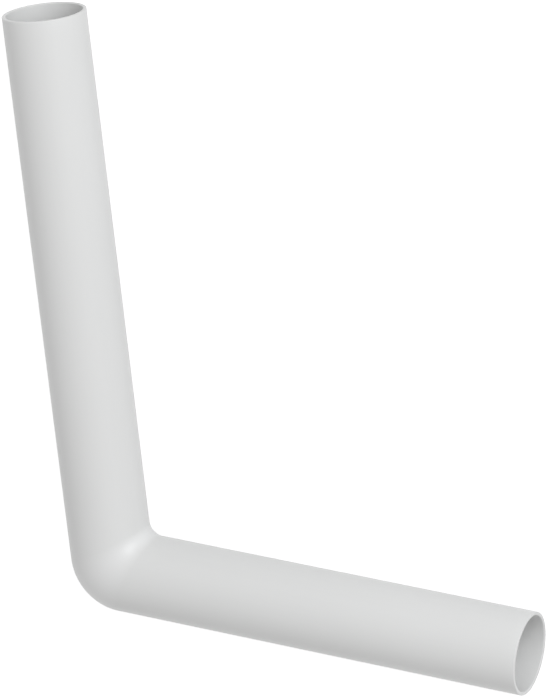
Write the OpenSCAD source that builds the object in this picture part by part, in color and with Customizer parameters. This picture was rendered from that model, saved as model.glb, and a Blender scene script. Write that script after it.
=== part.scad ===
// Bath overflow pipe: one thin-walled plastic tube with a single tight bend and two open,
// square-cut ends. It lies on its side: the plane of the bend is level and the lowest line
// of the wall rests on z = 0. The long leg runs along +Y and the short leg towards +X.

/* [Tube] */
// outside diameter of the tube
tube_d = 40; // [32:0.5:48]
// thickness of the tube wall
wall = 1.8; // [1.4:0.1:3]

/* [Legs] */
// long leg, from the corner where the two axes meet to its open end
long_leg = 278; // [150:1:400]
// short leg, from the same corner to its open end
short_leg = 218; // [120:1:400]
// angle between the two legs
leg_angle = 98; // [90:0.5:125]

/* [Bend] */
// radius of the outside wall round the heel of the bend, seen from above
heel_r = 27; // [25:0.5:34]
// radius of the outside wall in the crook of the bend, seen from above
crook_r = 6; // [3:0.5:16]

/* [Ends] */
// bevel on the outside edge of each end
outer_bevel = 0.4; // [0.2:0.1:0.6]
// bevel on the inside edge of each end
inner_bevel = 0.5; // [0.2:0.1:0.7]

/* [Hidden] */
$fn = 96;
tube_r = tube_d / 2;
bore_r = tube_r - wall;
half_angle = leg_angle / 2;
turn = 180 - leg_angle;
short_way = 90 - leg_angle;
// heights up the legs are kept to a whole micrometre, so that faces which meet share one value
function to_micron(x) = round(x * 1000) / 1000;
// upright axis of the heel curve: its distance from the axis of each leg, and how far up the leg
heel_off = heel_r - tube_r;
heel_up = to_micron(heel_off * tan(turn / 2));
// upright axis of the crook curve, given the same way
crook_off = crook_r + tube_r;
crook_up = to_micron(crook_off * tan(turn / 2));
// outermost points seen from above, used to centre the part on the origin
low_x = -tube_r;
high_x = short_leg * cos(short_way) + (tube_r - outer_bevel) * abs(sin(short_way));
low_y = (short_leg - outer_bevel) * sin(short_way) - tube_r * cos(short_way);
high_y = long_leg;
slack = 1;

// turns an upright child to run along +Y
module along_y() {
    rotate([-90, 0, 0])
        children();
}

// section of a rod with a round nose at -x and a flat body that reaches out to +x
module nose(r, reach) {
    union() {
        intersection() {
            circle(r = r);
            translate([-2 * r, -2 * r])
                square([2 * r, 4 * r]);
        }
        translate([0, -r])
            square([reach, 2 * r]);
    }
}

// outer side of one leg beside the bend, straight
module bank(r) {
    along_y()
        translate([0, 0, heel_up])
            linear_extrude(height = crook_up - heel_up)
                nose(r, crook_off + slack);
}

// heel of the bend: every level of the rod turns about the same upright axis
module heel(r) {
    translate([heel_off, heel_up, 0])
        rotate([0, 0, 180])
            rotate_extrude(angle = turn)
                translate([heel_off, 0])
                    mirror([1, 0])
                        nose(r, heel_off);
}

// what the crook leaves free: a grooved reel about the upright axis of the crook, with a core
module crook_reel(r) {
    translate([crook_off, crook_up, 0]) {
        rotate([0, 0, 180])
            rotate_extrude(angle = turn)
                difference() {
                    translate([0, -r - slack])
                        square([crook_off, 2 * r + 2 * slack]);
                    translate([crook_off, 0])
                        circle(r = r);
                }
        cylinder(r = crook_r / 2, h = 2 * r + 2 * slack, center = true);
    }
}

// half of the bend, up to the upright plane x = 0 that halves the angle
module half_bend(r) {
    reach = 2 * (crook_off + crook_up + 2 * tube_r);
    intersection() {
        rotate([0, 0, half_angle])
            difference() {
                union() {
                    bank(r);
                    heel(r);
                }
                crook_reel(r);
            }
        translate([-reach, -reach, -reach])
            cube([reach, 2 * reach, 2 * reach]);
    }
}

// round straight run of one leg, from the bend to its end
module run(r, end) {
    rotate([0, 0, half_angle])
        along_y()
            translate([0, 0, crook_up])
                cylinder(r = r, h = end - crook_up);
}

// solid bent rod of radius r
module bent_rod(r, long_end, short_end) {
    union() {
        run(r, long_end);
        half_bend(r);
        mirror([1, 0, 0])
            half_bend(r);
        mirror([1, 0, 0])
            run(r, short_end);
    }
}

// what the two bevels take off at the end of a leg
module trim(end) {
    rotate([0, 0, half_angle])
        along_y() {
            translate([0, 0, end - outer_bevel])
                difference() {
                    cylinder(r = tube_r + slack, h = outer_bevel + slack);
                    translate([0, 0, -slack])
                        cylinder(r1 = tube_r + slack, r2 = tube_r - outer_bevel - slack,
                            h = outer_bevel + 2 * slack);
                }
            translate([0, 0, end - inner_bevel])
                cylinder(r1 = bore_r, r2 = bore_r + inner_bevel + slack,
                    h = inner_bevel + slack);
        }
}

module pipe() {
    color("white")
        translate([-(low_x + high_x) / 2, -(low_y + high_y) / 2, tube_r])
            rotate([0, 0, -half_angle])
                difference() {
                    bent_rod(tube_r, long_leg, short_leg);
                    bent_rod(bore_r, long_leg + slack, short_leg + slack);
                    trim(long_leg);
                    mirror([1, 0, 0])
                        trim(short_leg);
                }
}

pipe();
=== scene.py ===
import math

import bmesh
import bpy
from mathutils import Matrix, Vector


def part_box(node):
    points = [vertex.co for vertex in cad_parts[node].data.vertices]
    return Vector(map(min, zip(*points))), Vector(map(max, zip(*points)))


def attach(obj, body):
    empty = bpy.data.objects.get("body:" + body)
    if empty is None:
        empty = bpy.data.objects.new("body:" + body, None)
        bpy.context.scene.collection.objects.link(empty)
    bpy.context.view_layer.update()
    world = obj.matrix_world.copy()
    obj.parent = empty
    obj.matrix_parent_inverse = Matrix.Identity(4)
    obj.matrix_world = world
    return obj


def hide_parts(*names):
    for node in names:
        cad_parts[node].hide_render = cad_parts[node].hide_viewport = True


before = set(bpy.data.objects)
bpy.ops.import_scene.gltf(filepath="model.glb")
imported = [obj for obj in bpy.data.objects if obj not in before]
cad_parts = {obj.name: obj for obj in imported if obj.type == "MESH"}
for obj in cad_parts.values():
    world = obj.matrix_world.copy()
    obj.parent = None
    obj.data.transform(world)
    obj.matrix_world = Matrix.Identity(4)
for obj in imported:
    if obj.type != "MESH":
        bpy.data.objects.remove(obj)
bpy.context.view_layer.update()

print("frame loaded with " + ", ".join(sorted(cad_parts)))

mm = 0.001


# a socket that takes part in ordinary arithmetic
class Wire:
    def __init__(self, tree, socket=None):
        self.tree = tree
        self.socket = socket

    def feed(self, target, value):
        if isinstance(value, Wire):
            self.tree.links.new(value.socket, target)
        elif isinstance(value, tuple) and len(value) == 3 and target.type == "RGBA":
            target.default_value = (*value, 1.0)
        else:
            target.default_value = value

    def node(self, kind, settings=None, values=None, output=0):
        made = self.tree.nodes.new(kind)
        for name, value in (settings or {}).items():
            if name == "stops":
                ramp = made.color_ramp
                while len(ramp.elements) < len(value):
                    ramp.elements.new(0.5)
                for element, (place, level) in zip(ramp.elements, value):
                    element.position = place
                    element.color = (level, level, level, 1.0)
            else:
                setattr(made, name, value)
        for name, value in (values or {}).items():
            self.feed(made.inputs[name], value)
        if len(made.outputs):
            return Wire(self.tree, made.outputs[output])

    def maths(self, operation, first, second):
        return self.node("ShaderNodeMath", {"operation": operation}, {0: first, 1: second})

    def __add__(self, other):
        return self.maths("ADD", self, other)

    def __radd__(self, other):
        return self.maths("ADD", other, self)

    def __sub__(self, other):
        return self.maths("SUBTRACT", self, other)

    def __rsub__(self, other):
        return self.maths("SUBTRACT", other, self)

    def __mul__(self, other):
        return self.maths("MULTIPLY", self, other)

    def __rmul__(self, other):
        return self.maths("MULTIPLY", other, self)

    def __truediv__(self, other):
        return self.maths("DIVIDE", self, other)

    def __pow__(self, other):
        return self.maths("POWER", self, other)


def blankMaterial(name):
    material = bpy.data.materials.new(name)
    material.use_nodes = True
    material.node_tree.nodes.clear()
    return material, Wire(material.node_tree)


# one for rays that reach the camera straight, off a gloss or through glass
def shownRays(bench):
    straight = bench.node("ShaderNodeLightPath", output="Is Camera Ray")
    glossy = bench.node("ShaderNodeLightPath", output="Is Glossy Ray")
    through = bench.node("ShaderNodeLightPath", output="Is Transmission Ray")
    return bench.maths("MINIMUM", straight + glossy + through, 1.0)


def lookAlong(thing, place, aim):
    thing.location = place
    thing.rotation_euler = (Vector(aim) - Vector(place)).to_track_quat("-Z", "Y").to_euler()


# the view of the photograph; the frame is 548 x 700, so the lens is set for the tall side
photoView = {
    "place": (0.90338, 0.609455, 1.783909),
    "turnDegrees": (-20.05443, 25.04644, -6.78275),
    "lensMm": 227.345,
}


def makeCamera(view):
    data = bpy.data.cameras.new("photoCamera")
    data.lens = view["lensMm"]
    data.sensor_width = 36.0
    data.sensor_fit = "AUTO"
    data.clip_start = 0.05
    data.clip_end = 30.0
    camera = bpy.data.objects.new("photoCamera", data)
    camera.location = view["place"]
    camera.rotation_euler = [math.radians(angle) for angle in view["turnDegrees"]]
    bpy.context.scene.collection.objects.link(camera)
    bpy.context.scene.camera = camera


makeCamera(photoView)
print("camera placed")


# sizes in millimetres, angles in degrees
pipeShape = {
    "outsideDiameter": 40.0,
    "wall": 1.8,
    "longLeg": 278.0,
    "shortLeg": 218.0,
    "legAngle": 98.0,
    "heelRadius": 27.0,
    "crookRadius": 6.0,
    "outerBevel": 0.4,
    "innerBevel": 0.5,
    "facesAround": 144,
    "facesRoundBend": 48,
    "facesPerLeg": 36,
    "facesPerLip": 5,
}


# one straight run or the bend, as rings of points; side is +1 on the heel and -1 in the crook
def pipeRings(shape):
    outer = shape["outsideDiameter"] / 2
    bore = outer - shape["wall"]
    turn = math.radians(180 - shape["legAngle"])
    lean = math.radians(90 - shape["legAngle"])
    legs = {
        "long": (Vector((0, 1, 0)), Vector((-1, 0, 0)), shape["longLeg"]),
        "short": (Vector((math.cos(lean), math.sin(lean), 0)),
                  Vector((math.sin(lean), -math.cos(lean), 0)), shape["shortLeg"]),
    }

    def curveRadius(radius, side):
        heel = shape["heelRadius"] - (outer - radius)
        crook = shape["crookRadius"] + (outer - radius)
        return (heel + crook) / 2 + side * (heel - crook) / 2

    def bendStart(radius, side):
        return (curveRadius(radius, side) - side * radius) * math.tan(turn / 2)

    def onLeg(leg, radius, angle, height, share):
        along, outward, length = legs[leg]
        side = math.cos(angle)
        up = height + (bendStart(radius, side) - height) * share
        place = along * up + outward * (side * radius)
        return place + Vector((0, 0, radius * math.sin(angle)))

    def inBend(radius, angle, share):
        side = math.cos(angle)
        curve = curveRadius(radius, side)
        centre = Vector((curve - side * radius, bendStart(radius, side), 0))
        spin = math.pi + turn * share
        place = centre + Vector((math.cos(spin), math.sin(spin), 0)) * curve
        return place + Vector((0, 0, radius * math.sin(angle)))

    angles = [2 * math.pi * k / shape["facesAround"] for k in range(shape["facesAround"])]
    rings = []

    def addRing(points, radius, along, bent, inside):
        rings.append([
            (point, Vector((radius * math.cos(a), radius * math.sin(a), along)), bent, inside)
            for point, a in zip(points, angles)
        ])

    def wallOf(radius, bevel, inside):
        longTop = shape["longLeg"] - bevel
        shortTop = shape["shortLeg"] - bevel
        count = shape["facesPerLeg"]
        made = []
        for k in range(count):
            share = k / count
            made.append(([onLeg("long", radius, a, longTop, share) for a in angles],
                         longTop * (1 - share), 0.0))
        steps = shape["facesRoundBend"]
        for k in range(steps + 1):
            share = k / steps
            made.append(([inBend(radius, a, share) for a in angles],
                         -40 * share, math.sin(math.pi * share)))
        for k in range(count - 1, -1, -1):
            share = k / count
            made.append(([onLeg("short", radius, a, shortTop, share) for a in angles],
                         -40 - shortTop * (1 - share), 0.0))
        return made

    # rounded lip from the outer wall over the end face and into the bore
    def lipOf(leg, sign):
        along, outward, length = legs[leg]
        steps = shape["facesPerLip"]
        path = []
        for k in range(1, steps + 1):
            a = math.pi / 2 * k / steps
            path.append((outer - shape["outerBevel"] * (1 - math.cos(a)),
                         length - shape["outerBevel"] * (1 - math.sin(a))))
        for k in range(steps):
            a = math.pi / 2 * k / steps
            path.append((bore + shape["innerBevel"] * (1 - math.sin(a)),
                         length - shape["innerBevel"] * (1 - math.cos(a))))
        return [([onLeg(leg, radius, a, height, 0) for a in angles], radius, sign * height)
                for radius, height in path]

    outside = wallOf(outer, shape["outerBevel"], 0.0)
    inside = wallOf(bore, shape["innerBevel"], 1.0)
    for points, along, bent in outside:
        addRing(points, outer, along, bent, 0.0)
    for points, radius, along in lipOf("short", -1):
        addRing(points, radius, along, 0.0, 0.0)
    for points, along, bent in reversed(inside):
        addRing(points, bore, along, bent, 1.0)
    for points, radius, along in reversed(lipOf("long", 1)):
        addRing(points, radius, along, 0.0, 0.0)
    return rings


def makePipe(shape):
    lowest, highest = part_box("pipe")
    corner = Vector((lowest.x + shape["outsideDiameter"] / 2 * mm,
                     highest.y - shape["longLeg"] * mm,
                     shape["outsideDiameter"] / 2 * mm))
    rings = pipeRings(shape)
    build = bmesh.new()
    unbent = build.verts.layers.float_vector.new("unbent")
    bend = build.verts.layers.float.new("bend")
    bore = build.verts.layers.float.new("bore")
    grid = []
    for ring in rings:
        row = []
        for point, straight, bent, inside in ring:
            vert = build.verts.new(corner + point * mm)
            vert[unbent] = straight * mm
            vert[bend] = bent
            vert[bore] = inside
            row.append(vert)
        grid.append(row)
    around = shape["facesAround"]
    for r in range(len(grid)):
        here, after = grid[r], grid[(r + 1) % len(grid)]
        for k in range(around):
            face = build.faces.new((here[k], after[k],
                                    after[(k + 1) % around], here[(k + 1) % around]))
            face.smooth = True
    bmesh.ops.recalc_face_normals(build, faces=build.faces)
    mesh = bpy.data.meshes.new("pipeSkin")
    build.to_mesh(mesh)
    build.free()
    pipe = bpy.data.objects.new("pipeSkin", mesh)
    bpy.context.scene.collection.objects.link(pipe)
    return pipe


plasticLook = {
    "colour": (0.80, 0.80, 0.795),
    "fadedColour": (0.76, 0.762, 0.755),
    # lighter colour for the bend: partly stress whitening, partly a painted highlight
    "whitenedAndHighlightColour": (0.86, 0.86, 0.86),
    "roughness": 0.40,
    "grainDepthMm": 0.010,
    "lineDepthMm": 0.012,
}


def makePlastic(look):
    material, bench = blankMaterial("satinPlastic")
    straight = bench.node("ShaderNodeAttribute", {"attribute_name": "unbent"}, output="Vector")
    bend = bench.node("ShaderNodeAttribute", {"attribute_name": "bend"}, output="Fac")
    bore = bench.node("ShaderNodeAttribute", {"attribute_name": "bore"}, output="Fac")

    def noise(scale, stretch, detail, rough=0.5):
        spread = bench.node("ShaderNodeMapping", {}, {"Vector": straight, "Scale": stretch})
        return bench.node("ShaderNodeTexNoise", {}, {
            "Vector": spread, "Scale": scale, "Detail": detail, "Roughness": rough})

    clouds = noise(28.0, (1.0, 1.0, 0.5), 3.0)
    grain = noise(1500.0, (1.0, 1.0, 1.0), 2.0, 0.6)
    dieLines = noise(520.0, (1.0, 1.0, 0.012), 3.0, 0.65)
    drift = clouds * 0.7 + dieLines * 0.3

    tint = bench.node("ShaderNodeMix", {"data_type": "RGBA"}, {
        0: drift, 6: look["colour"], 7: look["fadedColour"]}, output=2)
    # the bend's outer wall is lightened: stress whitening and a painted highlight together
    whiteningAndHighlight = bend * (0.35 + 0.3 * clouds) * (1 - bore)
    colour = bench.node("ShaderNodeMix", {"data_type": "RGBA"}, {
        0: whiteningAndHighlight, 6: tint, 7: look["whitenedAndHighlightColour"]}, output=2)
    gloss = look["roughness"] + (dieLines - 0.5) * 0.10 + (clouds - 0.5) * 0.08 + bore * 0.06
    relief = grain * look["grainDepthMm"] + dieLines * look["lineDepthMm"]
    bump = bench.node("ShaderNodeBump", {}, {"Height": relief, "Distance": mm, "Strength": 0.6},
                      output="Normal")
    shader = bench.node("ShaderNodeBsdfPrincipled", {}, {
        "Base Color": colour, "Roughness": gloss, "Normal": bump,
        "IOR": 1.49, "Subsurface Weight": 0.0})
    bench.node("ShaderNodeOutputMaterial", {}, {"Surface": shader})
    return material


pipe = makePipe(pipeShape)
pipe.data.materials.append(makePlastic(plasticLook))
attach(pipe, "root")
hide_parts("pipe")
print("pipe built with", len(pipe.data.vertices), "points")


floorLook = {
    "reach": 4.0,
    "colour": (0.62, 0.62, 0.62),
    "whiteness": 0.72,
}


# plain white sheet; it is lifted to white for the camera and keeps the shadow
def makeFloor(look):
    build = bmesh.new()
    bmesh.ops.create_grid(build, x_segments=8, y_segments=8, size=look["reach"])
    mesh = bpy.data.meshes.new("studioFloor")
    build.to_mesh(mesh)
    build.free()
    floor = bpy.data.objects.new("studioFloor", mesh)
    bpy.context.scene.collection.objects.link(floor)
    material, bench = blankMaterial("studioWhite")
    plain = bench.node("ShaderNodeBsdfDiffuse", {}, {"Color": look["colour"]})
    lift = bench.node("ShaderNodeEmission", {}, {
        "Color": (1.0, 1.0, 1.0), "Strength": look["whiteness"]})
    seen = bench.node("ShaderNodeAddShader", {}, {0: plain, 1: lift})
    both = bench.node("ShaderNodeMixShader", {}, {0: shownRays(bench), 1: plain, 2: seen})
    bench.node("ShaderNodeOutputMaterial", {}, {"Surface": both})
    floor.data.materials.append(material)


makeFloor(floorLook)


skyLook = {
    "colour": (1.0, 1.0, 1.0),
    "strength": 0.55,
}


def makeSky(look):
    world = bpy.data.worlds.new("studioSky")
    world.use_nodes = True
    world.node_tree.nodes.clear()
    bpy.context.scene.world = world
    bench = Wire(world.node_tree)
    shown = shownRays(bench)
    strength = shown * 1.0 + (1 - shown) * look["strength"]
    light = bench.node("ShaderNodeBackground", {}, {"Color": look["colour"], "Strength": strength})
    bench.node("ShaderNodeOutputWorld", {}, {"Surface": light})


makeSky(skyLook)

lamps = [
    {"name": "bigSoftbox", "place": (1.2, 0.9, 1.0), "aim": (0.0, 0.0, 0.0),
     "size": 1.2, "watts": 16.0, "colour": (0.97, 0.985, 1.0)},
]


def makeLamp(lamp):
    data = bpy.data.lights.new(lamp["name"], "AREA")
    data.shape = "DISK"
    data.size = lamp["size"]
    data.energy = lamp["watts"]
    data.color = lamp["colour"]
    made = bpy.data.objects.new(lamp["name"], data)
    bpy.context.scene.collection.objects.link(made)
    lookAlong(made, lamp["place"], lamp["aim"])


for lamp in lamps:
    makeLamp(lamp)
print("floor, sky and", len(lamps), "lamps ready")

bpy.context.scene.view_settings.view_transform = "Standard"
